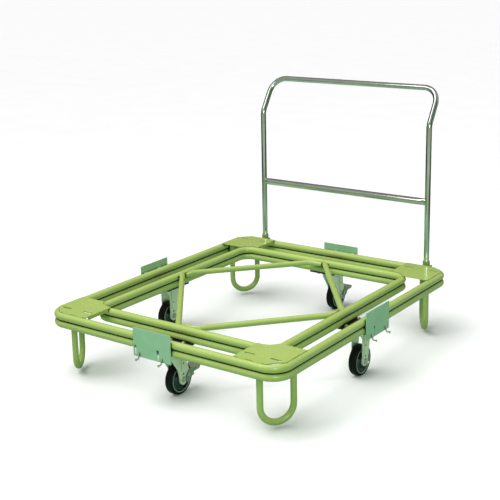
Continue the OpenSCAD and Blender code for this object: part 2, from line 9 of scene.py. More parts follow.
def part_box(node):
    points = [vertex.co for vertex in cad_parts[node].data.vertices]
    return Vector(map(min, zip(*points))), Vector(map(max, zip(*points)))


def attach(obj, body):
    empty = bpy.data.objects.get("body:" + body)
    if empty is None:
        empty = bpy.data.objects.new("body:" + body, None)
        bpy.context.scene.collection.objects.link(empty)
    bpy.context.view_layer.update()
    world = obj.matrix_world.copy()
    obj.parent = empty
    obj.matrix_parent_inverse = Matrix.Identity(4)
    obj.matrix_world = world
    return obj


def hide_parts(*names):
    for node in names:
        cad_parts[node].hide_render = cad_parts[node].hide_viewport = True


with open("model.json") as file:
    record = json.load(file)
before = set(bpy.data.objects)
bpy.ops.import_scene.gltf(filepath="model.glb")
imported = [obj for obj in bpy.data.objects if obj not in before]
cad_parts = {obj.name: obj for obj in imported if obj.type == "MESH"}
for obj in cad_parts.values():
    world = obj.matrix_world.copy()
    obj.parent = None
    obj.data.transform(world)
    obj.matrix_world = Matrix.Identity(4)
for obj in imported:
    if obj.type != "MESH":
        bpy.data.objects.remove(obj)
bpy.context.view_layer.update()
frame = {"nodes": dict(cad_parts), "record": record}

nodes = frame["nodes"]

# ---------------------------------------------------------------- sizes, in metres

RING_R = 0.0136
TUBE_R = 0.01085
OUTER_CORNER_R = 0.062
INNER_CORNER_R = 0.050
SHEET_T = 0.0032
HANDLE_CORNER_R = 0.065
HANDLE_BEND_R = 0.050
HANDLE_LEAN = math.acos(0.8432)
LEAN_START_Z = 0.7836
WHEEL_R = 0.056
RIM_R = 0.0476
TYRE_HALF = 0.0155
AXLE_R = 0.005
# Gap left between tubes that are welded side by side
TOUCH = 0.0001
# Cosine of the angle between a brace and the X axis
BRACE_COS = 0.658944

ring_lo, ring_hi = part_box("outer_ring_upper")
inner_lo, inner_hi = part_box("inner_ring_upper")
CART_Y = (ring_lo.y + ring_hi.y) / 2
UPPER_Z = (ring_lo.z + ring_hi.z) / 2
LOWER_Z = (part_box("outer_ring_lower")[0].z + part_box("outer_ring_lower")[1].z) / 2
DECK_Z = ring_hi.z
OUTER_HX = (ring_hi.x - ring_lo.x) / 2 - RING_R
OUTER_HY = (ring_hi.y - ring_lo.y) / 2 - RING_R
INNER_HX = (inner_hi.x - inner_lo.x) / 2 - RING_R
INNER_HY = (inner_hi.y - inner_lo.y) / 2 - RING_R
FRAME = "frame"


def mid(node):
    """Centre of a CAD node's box."""
    lo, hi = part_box(node)
    return (lo + hi) / 2


# ---------------------------------------------------------------- meshes

class Shape:
    """Collects vertices and faces of closed shells and turns them into one mesh object."""

    def __init__(self):
        self.verts = []
        self.faces = []

    def add(self, verts, faces, place=None):
        start = len(self.verts)
        place = place or Matrix.Identity(4)
        self.verts += [place @ Vector(v) for v in verts]
        self.faces += [tuple(start + i for i in f) for f in faces]

    def sweep(self, path, radius, sides=32, closed=False, place=None, squeeze=None):
        """Round rod along a path. radius and squeeze may be functions of the share of its length."""
        path = [Vector(p) for p in path]
        count = len(path)
        run = [0.0]
        for a, b in zip(path, path[1:]):
            run.append(run[-1] + (b - a).length)
        rings = []
        normal = None
        for i, p in enumerate(path):
            before = path[i - 1] if i or closed else p
            after = path[(i + 1) % count] if i < count - 1 or closed else p
            along = (after - before).normalized()
            if normal is None:
                seed = Vector((0, 0, 1)) if abs(along.z) < 0.9 else Vector((0, 1, 0))
                normal = seed
            normal = (normal - along * normal.dot(along)).normalized()
            other = along.cross(normal)
            t = run[i] / run[-1]
            r = radius(t) if callable(radius) else radius
            flat = squeeze(t) if squeeze else (1.0, 1.0)
            ring = []
            for k in range(sides):
                a = math.tau * k / sides
                sideways = other * (r * flat[0] * math.cos(a))
                upwards = normal * (r * flat[1] * math.sin(a))
                ring.append(p + sideways + upwards)
            rings.append(ring)
        verts = [v for ring in rings for v in ring]
        faces = []
        for i in range(count if closed else count - 1):
            j = (i + 1) % count
            for k in range(sides):
                m = (k + 1) % sides
                faces.append((i * sides + k, i * sides + m, j * sides + m, j * sides + k))
        if not closed:
            faces.append(tuple(reversed(range(sides))))
            faces.append(tuple((count - 1) * sides + k for k in range(sides)))
        self.add(verts, faces, place)

    def revolve(self, profile, sides=64, place=None):
        """Closed (radius, height) outline turned about Z."""
        count = len(profile)
        verts = [
            (r * math.cos(math.tau * k / sides), r * math.sin(math.tau * k / sides), h)
            for k in range(sides)
            for r, h in profile
        ]
        faces = []
        for k in range(sides):
            n = (k + 1) % sides
            for i in range(count):
                j = (i + 1) % count
                faces.append((k * count + i, n * count + i, n * count + j, k * count + j))
        self.add(verts, faces, place)

    def lathe_solid(self, profile, sides=32, place=None):
        """Open (radius, height) outline whose two ends lie on the axis, turned about Z."""
        inner = profile[1:-1]
        count = len(inner)
        verts = [(0, 0, profile[0][1])]
        for k in range(sides):
            a = math.tau * k / sides
            verts += [(r * math.cos(a), r * math.sin(a), h) for r, h in inner]
        verts.append((0, 0, profile[-1][1]))
        last = len(verts) - 1
        faces = []
        for k in range(sides):
            n = (k + 1) % sides
            faces.append((0, 1 + n * count, 1 + k * count))
            here, there = 1 + k * count, 1 + n * count
            for i in range(count - 1):
                faces.append((here + i, there + i, there + i + 1, here + i + 1))
            faces.append((1 + k * count + count - 1, 1 + n * count + count - 1, last))
        self.add(verts, faces, place)

    def build(self, name, angle=35):
        """Makes the mesh object, with sharp edges over the angle kept sharp."""
        mesh = bpy.data.meshes.new(name)
        mesh.from_pydata([tuple(v) for v in self.verts], [], self.faces)
        return finish_object(name, mesh, angle)


def finish_object(name, mesh, angle=35):
    """Makes an object of a mesh, smooth but for edges over the angle."""
    bm = bmesh.new()
    bm.from_mesh(mesh)
    bmesh.ops.recalc_face_normals(bm, faces=bm.faces)
    bm.to_mesh(mesh)
    bm.free()
    mesh.shade_smooth()
    mesh.set_sharp_from_angle(angle=math.radians(angle))
    piece = bpy.data.objects.new(name, mesh)
    bpy.context.scene.collection.objects.link(piece)
    return piece


def rounded_copy(node, name, width, segments=2, limit=40):
    """A copy of a CAD node with its flat faces merged and its sharp edges rounded."""
    source = nodes[node]
    bm = bmesh.new()
    bm.from_mesh(source.data)
    bm.transform(source.matrix_world)
    bmesh.ops.remove_doubles(bm, verts=bm.verts, dist=1e-6)
    bmesh.ops.dissolve_limit(
        bm, angle_limit=math.radians(0.5), verts=bm.verts, edges=bm.edges, use_dissolve_boundaries=False
    )
    mesh = bpy.data.meshes.new(name)
    bm.to_mesh(mesh)
    bm.free()
    piece = finish_object(name, mesh, 30)
    bevel = piece.modifiers.new("edges", "BEVEL")
    bevel.width = width
    bevel.segments = segments
    bevel.limit_method = "ANGLE"
    bevel.angle_limit = math.radians(limit)
    bevel.harden_normals = True
    bevel.use_clamp_overlap = True
    apply_modifiers(piece)
    return piece


def apply_modifiers(piece):
    """Makes a piece's modifiers part of its mesh."""
    graph = bpy.context.evaluated_depsgraph_get()
    mesh = bpy.data.meshes.new_from_object(piece.evaluated_get(graph))
    piece.modifiers.clear()
    piece.data = mesh


def toward(direction, origin=(0, 0, 0)):
    """Matrix that turns +Z to a direction and moves it to an origin."""
    turn = Vector(direction).to_track_quat("Z", "Y").to_matrix().to_4x4()
    return Matrix.Translation(Vector(origin)) @ turn


def arc_points(centre, radius, start, end, steps):
    """Points on a circle in the XY plane, angles in degrees."""
    out = []
    for i in range(steps + 1):
        a = math.radians(start + (end - start) * i / steps)
        out.append(Vector((centre[0] + radius * math.cos(a), centre[1] + radius * math.sin(a), 0)))
    return out


# ---------------------------------------------------------------- materials

class Graph:
    """Short-hand for building a node material."""

    def __init__(self, name):
        self.material = bpy.data.materials.new(name)
        self.material.use_nodes = True
        self.tree = self.material.node_tree
        self.shader = self.tree.nodes["Principled BSDF"]
        self.where = self.tree.nodes.new("ShaderNodeTexCoord").outputs["Object"]

    def node(self, kind, **settings):
        made = self.tree.nodes.new(kind)
        for key, value in settings.items():
            if hasattr(made, key):
                setattr(made, key, value)
            else:
                made.inputs[key.replace("_", " ")].default_value = value
        return made

    def link(self, source, target):
        self.tree.links.new(source, target)

    def set(self, **values):
        for key, value in values.items():
            self.shader.inputs[key.replace("_", " ")].default_value = value

    def noise(self, scale, detail=4.0, roughness=0.55, stretch=None):
        made = self.node("ShaderNodeTexNoise")
        made.inputs["Scale"].default_value = scale
        made.inputs["Detail"].default_value = detail
        made.inputs["Roughness"].default_value = roughness
        place = self.where
        if stretch:
            mapping = self.node("ShaderNodeMapping")
            mapping.inputs["Scale"].default_value = stretch
            self.link(self.where, mapping.inputs["Vector"])
            place = mapping.outputs["Vector"]
        self.link(place, made.inputs["Vector"])
        return made.outputs["Fac"]

    def ramp(self, source, stops):
        """Colour ramp from (position, colour) stops."""
        made = self.node("ShaderNodeValToRGB")
        band = made.color_ramp
        while len(band.elements) < len(stops):
            band.elements.new(0.5)
        for element, (position, colour) in zip(band.elements, stops):
            element.position = position
            element.color = (*colour, 1.0) if len(colour) == 3 else colour
        self.link(source, made.inputs["Fac"])
        return made.outputs["Color"]

    def span(self, source, low, high, to_low, to_high):
        """Maps a value's range low..high to to_low..to_high."""
        made = self.node("ShaderNodeMapRange")
        limits = {"From Min": low, "From Max": high, "To Min": to_low, "To Max": to_high}
        for key, value in limits.items():
            made.inputs[key].default_value = value
        self.link(source, made.inputs["Value"])
        return made.outputs["Result"]

    def crevice_shade(self, reach):
        """Painted shade mask from ambient occlusion: 1 deep in seams and corners narrower than reach, 0 in
        the open.
        """
        made = self.node("ShaderNodeAmbientOcclusion", samples=8)
        made.inputs["Distance"].default_value = reach
        return self.span(made.outputs["AO"], 0.76, 0.40, 0.0, 0.97)

    def mix(self, factor, first, second):
        made = self.node("ShaderNodeMix", data_type="RGBA")
        self.link(factor, made.inputs["Factor"])
        for source, socket in ((first, made.inputs[6]), (second, made.inputs[7])):
            if isinstance(source, tuple):
                socket.default_value = (*source, 1.0)
            else:
                self.link(source, socket)
        return made.outputs[2]

    def add(self, first, second, scale=1.0):
        made = self.node("ShaderNodeMath", operation="MULTIPLY_ADD")
        self.link(second, made.inputs[0])
        made.inputs[1].default_value = scale
        self.link(first, made.inputs[2])
        return made.outputs[0]

    def bump(self, height, distance, strength=1.0):
        made = self.node("ShaderNodeBump")
        made.inputs["Strength"].default_value = strength
        made.inputs["Distance"].default_value = distance
        self.link(height, made.inputs["Height"])
        self.link(made.outputs["Normal"], self.shader.inputs["Normal"])


def frame_paint():
    """Glossy yellow-green enamel: slow tone changes, orange peel, dull scuffs and painted shade in the
    seams and corners.
    """
    g = Graph("frame_enamel")
    tone = g.ramp(g.noise(4, 3), [(0.3, (0.385, 0.50, 0.132)), (0.7, (0.435, 0.555, 0.156))])
    scuff = g.span(g.noise(45, 6, 0.7), 0.60, 0.80, 0.0, 0.25)
    worn = g.mix(scuff, tone, (0.32, 0.39, 0.13))
    # Painted shade: seams and corners within reach are darkened towards a near-black green by an ambient
    # occlusion mask.
    g.link(g.mix(g.crevice_shade(0.014), worn, (0.012, 0.030, 0.008)), g.shader.inputs["Base Color"])
    g.link(g.span(g.noise(70, 5), 0.35, 0.7, 0.18, 0.30), g.shader.inputs["Roughness"])
    g.bump(g.add(g.noise(40, 2), g.noise(300, 2), 0.25), 0.00004, 0.5)
    g.set(Coat_Weight=0.35, Coat_Roughness=0.08)
    return g.material


def link_zinc():
    """Blue-green chromate on rolled sheet: cloudy tone, faint vertical streaks, satin."""
    g = Graph("blue_green_chromate")
    tone = g.ramp(g.noise(14, 5, 0.6), [(0.28, (0.32, 0.58, 0.36)), (0.72, (0.42, 0.68, 0.45))])
    streak = g.span(g.noise(30, 5, 0.6, (18, 18, 1)), 0.45, 0.75, 0.0, 0.35)
    cloudy = g.mix(streak, tone, (0.45, 0.68, 0.50))
    # Painted shade: seams and corners are darkened towards a dark green by an ambient occlusion mask.
    g.link(g.mix(g.crevice_shade(0.008), cloudy, (0.05, 0.10, 0.06)), g.shader.inputs["Base Color"])
    g.link(g.span(g.noise(220, 4), 0.3, 0.7, 0.30, 0.48), g.shader.inputs["Roughness"])
    g.bump(g.noise(700, 3), 0.00008, 0.4)
    g.set(Metallic=0.25)
    return g.material


def pressed_zinc(name, dark, light, dull):
    """Zinc on pressed steel: fine spangle, duller patches and a slightly uneven surface."""
    g = Graph(name)
    spangle = g.node("ShaderNodeTexVoronoi")
    spangle.inputs["Scale"].default_value = 260
    g.link(g.where, spangle.inputs["Vector"])
    tone = g.ramp(spangle.outputs["Color"], [(0.0, dark), (1.0, light)])
    patch = g.span(g.noise(45, 6, 0.65), 0.45, 0.75, 0.0, 0.40)
    spotted = g.mix(patch, tone, dull)
    # Painted shade: seams and corners are darkened towards a dark olive by an ambient occlusion mask.
    g.link(g.mix(g.crevice_shade(0.009), spotted, (0.05, 0.06, 0.035)), g.shader.inputs["Base Color"])
    g.link(g.span(g.noise(180, 4), 0.3, 0.7, 0.26, 0.44), g.shader.inputs["Roughness"])
    g.bump(g.add(g.noise(900, 2), g.noise(90, 3), 0.8), 0.0001, 0.5)
    g.set(Metallic=0.3)
    return g.material


def chrome():
    """Bright chrome on drawn tube: very fine polish marks, faint haze and small pits."""
    g = Graph("chrome_plate")
    tone = g.ramp(g.noise(12, 3), [(0.3, (0.58, 0.63, 0.57)), (0.7, (0.70, 0.74, 0.68))])
    pits = g.span(g.noise(420, 3, 0.7), 0.66, 0.74, 0.0, 0.6)
    g.link(g.mix(pits, tone, (0.20, 0.24, 0.19)), g.shader.inputs["Base Color"])
    g.link(g.span(g.noise(60, 5, 0.6), 0.3, 0.75, 0.06, 0.14), g.shader.inputs["Roughness"])
    g.bump(g.noise(260, 4), 0.00004, 0.25)
    g.set(Metallic=1.0)
    return g.material


def fastener_zinc():
    """Bright zinc on bolts and nuts, with darker worn spots."""
    g = Graph("fastener_zinc")
    tone = g.ramp(g.noise(300, 4), [(0.3, (0.42, 0.45, 0.38)), (0.7, (0.66, 0.68, 0.60))])
    g.link(tone, g.shader.inputs["Base Color"])
    g.link(g.span(g.noise(500, 3), 0.3, 0.7, 0.22, 0.42), g.shader.inputs["Roughness"])
    g.bump(g.noise(1200, 2), 0.00006, 0.4)
    g.set(Metallic=0.85)
    return g.material


def rubber():
    """Black tyre rubber: almost matt, with a faintly cloudy tone and moulding grain."""
    g = Graph("tyre_rubber")
    tone = g.ramp(g.noise(90, 6, 0.7), [(0.4, (0.001, 0.001, 0.0015)), (0.8, (0.006, 0.0065, 0.007))])
    g.link(tone, g.shader.inputs["Base Color"])
    g.link(g.span(g.noise(350, 4), 0.3, 0.7, 0.32, 0.55), g.shader.inputs["Roughness"])
    g.bump(g.add(g.noise(1400, 3), g.noise(200, 3), 0.5), 0.0001, 0.5)
    g.set(Specular_IOR_Level=0.18)
    return g.material


def wheel_steel():
    """Dark lacquered wheel disc: glossy, with a slight metallic fleck."""
    g = Graph("wheel_disc")
    tone = g.ramp(g.noise(800, 2), [(0.35, (0.035, 0.05, 0.048)), (0.75, (0.13, 0.17, 0.16))])
    g.link(tone, g.shader.inputs["Base Color"])
    g.link(g.span(g.noise(120, 4), 0.3, 0.7, 0.12, 0.26), g.shader.inputs["Roughness"])
    g.bump(g.noise(500, 3), 0.00006, 0.4)
    g.set(Metallic=0.9, Coat_Weight=0.4, Coat_Roughness=0.15)
    return g.material


def dark_plate(name, low, high):
    """Painted steel with a patchy tone and an uneven gloss."""
    g = Graph(name)
    g.link(g.ramp(g.noise(70, 6, 0.65), [(0.3, low), (0.75, high)]), g.shader.inputs["Base Color"])
    g.link(g.span(g.noise(260, 4), 0.3, 0.7, 0.35, 0.6), g.shader.inputs["Roughness"])
    g.bump(g.noise(600, 3), 0.0001, 0.5)
    g.set(Metallic=0.2)
    return g.material


def studio_floor():
    """White paper. To other rays it carries painted light: a small dim greenish sheet that fades to dark
    with distance, paler at the front right.
    """
    g = Graph("paper_floor")
    tone = g.ramp(g.noise(3, 2), [(0.3, (0.90, 0.90, 0.90)), (0.7, (0.92, 0.92, 0.92))])
    # Painted light for bounce and reflection rays: a greenish pool near the cart that fades to dark away
    # from it, with a paler patch towards the front right.
    away = g.node("ShaderNodeVectorMath", operation="LENGTH")
    g.link(g.where, away.inputs[0])
    reach = g.span(away.outputs["Value"], 0.0, 4.0, 0.0, 1.0)
    sheet = g.ramp(reach, [(0.28, (0.30, 0.45, 0.34)), (0.62, (0.05, 0.05, 0.05))])
    forward = g.node("ShaderNodeVectorMath", operation="DOT_PRODUCT")
    g.link(g.where, forward.inputs[0])
    forward.inputs[1].default_value = (0.54, -0.84, 0)
    painted_light_pool = g.mix(g.span(forward.outputs["Value"], 1.0, 1.9, 0.0, 1.0), sheet, (0.34, 0.39, 0.30))
    rays = g.node("ShaderNodeLightPath")
    g.link(g.mix(rays.outputs["Is Camera Ray"], painted_light_pool, tone), g.shader.inputs["Base Color"])
    g.set(Roughness=0.9, Specular_IOR_Level=0.1)
    return g.material


# Dark, light and dull tones of the pressed parts
FORK_TONES = ((0.78, 0.86, 0.62), (0.92, 0.97, 0.76), (0.60, 0.68, 0.46))
PEDAL_TONES = ((0.24, 0.31, 0.22), (0.34, 0.42, 0.30), (0.14, 0.19, 0.13))

LOOKS = {
    "frame_paint": frame_paint(),
    "link_zinc": link_zinc(),
    "fork_zinc": pressed_zinc("olive_zinc", *FORK_TONES),
    "pedal_zinc": pressed_zinc("dull_zinc", *PEDAL_TONES),
    "handle_chrome": chrome(),
    "fastener_zinc": fastener_zinc(),
    "tyre": rubber(),
    "hub_steel": wheel_steel(),
    "mount_black": dark_plate("mount_paint", (0.012, 0.013, 0.013), (0.045, 0.048, 0.045)),
    "socket_dark": dark_plate("socket_paint", (0.24, 0.31, 0.10), (0.34, 0.42, 0.15)),
}


def dress(piece, slot):
    """Gives a piece one finish in place of any that it has."""
    piece.data.materials.clear()
    piece.data.materials.append(LOOKS[slot])


def stand_for(piece, body, slot, *replaced):
    """Gives a piece its body, finish and the CAD nodes it replaces."""
    dress(piece, slot)
    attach(piece, body)
    if replaced:
        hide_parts(*replaced)
    return piece


SLOT_OF = {s["node"]: s["material_slot"] for s in frame["record"]["subparts"]}

for node, piece in nodes.items():
    for place in piece.material_slots:
        place.material = LOOKS[SLOT_OF[node]]

# ---------------------------------------------------------------- rings

def loop_path(hx, hy, corner_r, z, corner_steps=14, side_steps=6):
    """Closed path of a rounded rectangle, with even steps along its sides."""
    corners = [(1, 1, 0), (-1, 1, 90), (-1, -1, 180), (1, -1, 270)]
    path = []
    for i, (sx, sy, start) in enumerate(corners):
        centre = (sx * (hx - corner_r), sy * (hy - corner_r))
        path += arc_points(centre, corner_r, start, start + 90, corner_steps)
        nx, ny, nstart = corners[(i + 1) % 4]
        next_centre = (nx * (hx - corner_r), ny * (hy - corner_r))
        following = arc_points(next_centre, corner_r, nstart, nstart, 1)[0]
        last = path[-1]
        path += [last.lerp(following, k / side_steps) for k in range(1, side_steps)]
    return [Vector((p.x, p.y + CART_Y, z)) for p in path]


def ring_piece(node, hx, hy, corner_r):
    """One closed tube loop of a ring."""
    shape = Shape()
    shape.sweep(loop_path(hx, hy, corner_r, mid(node).z), RING_R, 40, closed=True)
    return stand_for(shape.build(node + "_tube", 60), FRAME, "frame_paint", node)


for level in ("upper", "lower"):
    ring_piece("outer_ring_" + level, OUTER_HX, OUTER_HY, OUTER_CORNER_R)
    ring_piece("inner_ring_" + level, INNER_HX, INNER_HY, INNER_CORNER_R)

# ---------------------------------------------------------------- bent braces

def brace_path():
    """Centreline of a bent brace, from the front ring's middle to the right-hand ring."""
    bend = 0.040
    turn = math.acos(BRACE_COS)
    first, last = 0.036, 0.030
    along_x = INNER_HX - RING_R - TUBE_R - TOUCH
    along_y = INNER_HY - RING_R - TUBE_R - TOUCH
    long = (along_x - bend - 0.022) / BRACE_COS
    place, heading = Vector((-0.014, -along_y, 0)), 0.0
    path = []
    for length, angle in ((first, turn), (long, math.pi / 2 - turn), (last, 0.0)):
        ahead = Vector((math.cos(heading), math.sin(heading), 0))
        path += [place + ahead * length * k / 6 for k in range(6 if angle else 7)]
        place = place + ahead * length
        left = Vector((-ahead.y, ahead.x, 0))
        centre = place + left * bend
        for k in range(12 if angle else 0):
            a = heading + angle * k / 12
            path.append(centre + Vector((math.sin(a), -math.cos(a), 0)) * bend)
        heading += angle
        place = centre + Vector((math.sin(heading), -math.cos(heading), 0)) * bend
    return path


def pinched(t):
    """The ends of a bent brace are pressed flat over their last 30 mm."""
    k = max(0.0, 1 - min(t, 1 - t) * 0.62 / 0.030)
    k = k * k * (3 - 2 * k)
    return (1 - 0.45 * k, 1 - 0.25 * k)


braces = Shape()
for half_turn in (0, math.pi):
    place = Matrix.Translation((0, CART_Y, UPPER_Z)) @ Matrix.Rotation(half_turn, 4, "Z")
    braces.sweep(brace_path(), TUBE_R, 40, place=place, squeeze=pinched)
stand_for(braces.build("bent_brace_tubes", 60), FRAME, "frame_paint", "brace_pair_bent")

# ---------------------------------------------------------------- sheet metal

for side in ("front_left", "front_right", "back_left", "back_right"):
    plate = rounded_copy("corner_plate_" + side, "corner_sheet_" + side, 0.0009, 3)
    stand_for(plate, FRAME, "frame_paint", "corner_plate_" + side)

for side in ("front", "right", "back", "left"):
    plate = rounded_copy("link_plate_" + side, "link_sheet_" + side, 0.0006, 2)
    stand_for(plate, FRAME, "link_zinc", "link_plate_" + side)

for side in ("side", "end"):
    plate = rounded_copy("caster_mounts_" + side, "mount_sheets_" + side, 0.0012, 2)
    stand_for(plate, FRAME, "mount_black", "caster_mounts_" + side)

for side in ("left", "right"):
    fork = rounded_copy("rigid_fork_" + side, "pressed_rigid_fork_" + side, 0.001, 3)
    stand_for(fork, FRAME, "fork_zinc", "rigid_fork_" + side)

for side in ("front", "back"):
    fork = rounded_copy(side + "_fork", "pressed_swivel_fork_" + side, 0.001, 3)
    stand_for(fork, side + "_swivel", "fork_zinc", side + "_fork")
    pedal = rounded_copy(side + "_brake_pedal", "pressed_pedal_" + side, 0.0007, 2)
    stand_for(pedal, side + "_pedal", "fork_zinc", side + "_brake_pedal")
    pedal.data.materials[0] = LOOKS["pedal_zinc"]

# ---------------------------------------------------------------- wheels

def tyre_profile():
    """Tyre outline: rounded shoulders, a shallow moulding line and a bead at the rim."""
    half, r, rim = TYRE_HALF, WHEEL_R, RIM_R
    shoulder = 0.006
    out = [(rim, -half + 0.0012), (rim + 0.0012, -half)]
    out += [(r - shoulder - 0.0006, -half)]
    for i in range(9):
        a = math.radians(-80 + 80 * i / 8)
        out.append((r - shoulder + shoulder * math.cos(a), -half + shoulder + shoulder * math.sin(a)))
    out += [(r, -0.0008), (r - 0.0002, 0), (r, 0.0008)]
    for i in range(9):
        a = math.radians(80 * i / 8)
        out.append((r - shoulder + shoulder * math.cos(a), half - shoulder + shoulder * math.sin(a)))
    out += [(r - shoulder - 0.0006, half), (rim + 0.0012, half), (rim, half - 0.0012)]
    return out


def disc_profile():
    """Wheel disc outline: rim lip, dished web, raised ring round the bearing seat."""
    half = 0.0135
    face = [(0.0116, 0.0185), (0.0178, 0.0185), (0.0186, 0.0178), (0.0188, 0.0120), (0.0196, 0.0104),
            (0.0215, 0.0092), (0.0260, 0.0068), (0.0330, 0.0052), (0.0385, 0.0058), (0.0412, 0.0085),
            (0.0424, half - 0.001), (0.0432, half), (0.0468, half), (RIM_R - 0.0001, half - 0.001)]
    return face + [(r, -h) for r, h in reversed(face)]


def cap_ring_profile():
    """Bright dust ring pressed over the bearing seat."""
    return [(0.0112, 0.0186), (0.0150, 0.0186), (0.0158, 0.0182), (0.0164, 0.0186), (0.0172, 0.0190),
            (0.0182, 0.0188), (0.0190, 0.0178), (0.0191, 0.0150), (0.0187, 0.0150), (0.0186, 0.0172),
            (0.0178, 0.0180), (0.0112, 0.0180)]


def rim_ring_profile():
    """Bright rolled lip where the disc meets the tyre."""
    return [(0.0436, 0.0136), (0.0441, 0.0144), (0.0452, 0.0149),
            (0.0464, 0.0149), (0.0473, 0.0144), (0.0475, 0.0136)]


def wheel(side, body):
    """Tyre, disc and bright rings of one wheel."""
    centre = mid(side + "_hub")
    place = toward((1, 0, 0), centre)
    tyre = Shape()
    tyre.revolve(tyre_profile(), 96, place)
    stand_for(tyre.build(side + "_moulded_tyre", 50), body, "tyre", side + "_tyre")
    disc = Shape()
    disc.revolve(disc_profile(), 96, place)
    stand_for(disc.build(side + "_wheel_disc", 30), body, "hub_steel", side + "_hub")
    rings = Shape()
    for direction in ((1, 0, 0), (-1, 0, 0)):
        rings.revolve(cap_ring_profile(), 64, toward(direction, centre))
        rings.revolve(rim_ring_profile(), 96, toward(direction, centre))
    stand_for(rings.build(side + "_dust_rings", 30), body, "fastener_zinc")


for side in ("left", "right", "front", "back"):
    wheel(side, side + "_wheel")

# ---------------------------------------------------------------- fasteners

def hexagon(across, turn=0.0):
    """Corners of a hexagon from its width across flats and its turn in degrees."""
    r = across / math.sqrt(3)
    angles = [math.radians(60 * i + turn) for i in range(6)]
    return [(r * math.cos(a), r * math.sin(a)) for a in angles]


def nut(shape, place, across, height, turn=0.0):
    """Hex nut with both faces chamfered by a stepped outline."""
    chamfer = 0.07 * across
    outline = hexagon(across, turn)
    small = hexagon(across * 0.9, turn)
    count = 6
    levels = [(small, 0.0), (outline, chamfer * 0.6), (outline, height - chamfer * 0.6), (small, height)]
    verts = [(x, y, z) for ring, z in levels for x, y in ring]
    faces = [tuple(reversed(range(count))), tuple(range(3 * count, 4 * count))]
    for level in range(3):
        low, high = level * count, (level + 1) * count
        for i in range(count):
            n = (i + 1) % count
            faces.append((low + i, low + n, high + n, high + i))
    shape.add(verts, faces, place)


def washer(shape, place, inner, outer, thick):
    """Flat washer with its outer edges eased."""
    edge = thick * 0.25
    lower = [(inner, 0), (outer - edge, 0), (outer, edge)]
    upper = [(outer, thick - edge), (outer - edge, thick), (inner, thick)]
    shape.revolve(lower + upper, 40, place)


def stud(shape, place, radius, length, pitch=0.00125):
    """Round bar from z = 0 with a ribbed thread and a chamfered tip."""
    profile = [(0, 0), (radius * 0.99, 0)]
    turns = int((length - radius * 0.3) / pitch)
    for i in range(turns):
        profile += [(radius, (i + 0.5) * pitch), (radius * 0.9, (i + 1.0) * pitch)]
    profile += [(radius * 0.72, length), (0, length)]
    shape.lathe_solid(profile, 24, place)


FORK_OUTER = 0.0232
AXLE_WASHER_R = 0.0098
AXLE_WASHER_T = 0.0014
AXLE_NUT_ACROSS = 0.0148
AXLE_NUT_H = 0.0052
AXLE_THREAD_L = 0.0079
AXLE_CROWN = [(0, 0), (0.0052, 0), (0.0060, 0.0003), (0.0052, 0.0011), (0, 0.0011)]
# Centre of the brake pedal's pin from the axle, and the outline of the pin's head
PEDAL_PIN = Vector((0, 0.023, 0.010))
PIN_HEAD = [(0, 0), (0.0040, 0), (0.0040, 0.0066), (0.0058, 0.0067), (0.0065, 0.0073),
            (0.0062, 0.0082), (0.0045, 0.0086), (0, 0.0086)]


def axle_set(shape, centre, outer):
    """Axle bolt along X at a wheel's centre: crowned head, washers, nut and thread end."""
    shape.sweep([centre + Vector((-outer, 0, 0)), centre + Vector((outer, 0, 0))], AXLE_R, 32)
    for hand in (1, -1):
        out = Vector((hand, 0, 0))
        washer(shape, toward(out, centre + out * outer), AXLE_R, AXLE_WASHER_R, AXLE_WASHER_T)
        seat = toward(out, centre + out * (outer + AXLE_WASHER_T))
        nut(shape, seat, AXLE_NUT_ACROSS, AXLE_NUT_H, 15 * hand)
    out = Vector((1, 0, 0))
    stud(shape, toward(out, centre + out * outer), AXLE_R, AXLE_THREAD_L)
    head_end = outer + AXLE_WASHER_T + AXLE_NUT_H
    shape.lathe_solid(AXLE_CROWN, 32, toward(-out, centre - out * head_end))


rigid = Shape()
for side in ("left", "right"):
    axle_set(rigid, mid(side + "_hub"), FORK_OUTER)
stand_for(rigid.build("rigid_axle_bolts", 30), FRAME, "fastener_zinc", "rigid_axles")

for side in ("front", "back"):
    swivel = Shape()
    centre = mid(side + "_hub")
    axle_set(swivel, centre, FORK_OUTER)
    for hand in (1, -1):
        out = Vector((hand, 0, 0))
        pin = centre + PEDAL_PIN + out * (FORK_OUTER - SHEET_T)
        swivel.lathe_solid(PIN_HEAD, 32, toward(out, pin))
    fastened = swivel.build(side + "_swivel_bolts", 30)
    stand_for(fastened, side + "_swivel", "fastener_zinc", side + "_fork_fasteners")

# How far a swivel caster's wheel trails its kingpin
TRAIL = Vector((0, 0.045, 0))
PLATE_BOLT_X = 0.028
PLATE_BOLT_Y = 0.044
PLATE_BOLT_R = 0.0039
PLATE_NUT_ACROSS = 0.0130
PLATE_WASHER_T = 0.0012


def plate_bolt(shape, x, y, plate_bottom, mount_top):
    """One bolt through a caster's top plate and its mount plate, with its nut on top."""
    below = toward((0, 0, -1), (x, y, plate_bottom))
    above = toward((0, 0, 1), (x, y, mount_top))
    nut(shape, below, PLATE_NUT_ACROSS, 0.0050, 12)
    washer(shape, above, 0.004, 0.0078, PLATE_WASHER_T)
    seat = toward((0, 0, 1), (x, y, mount_top + PLATE_WASHER_T))
    nut(shape, seat, PLATE_NUT_ACROSS, 0.0052, 20)
    stud(shape, above, PLATE_BOLT_R, 0.0088)


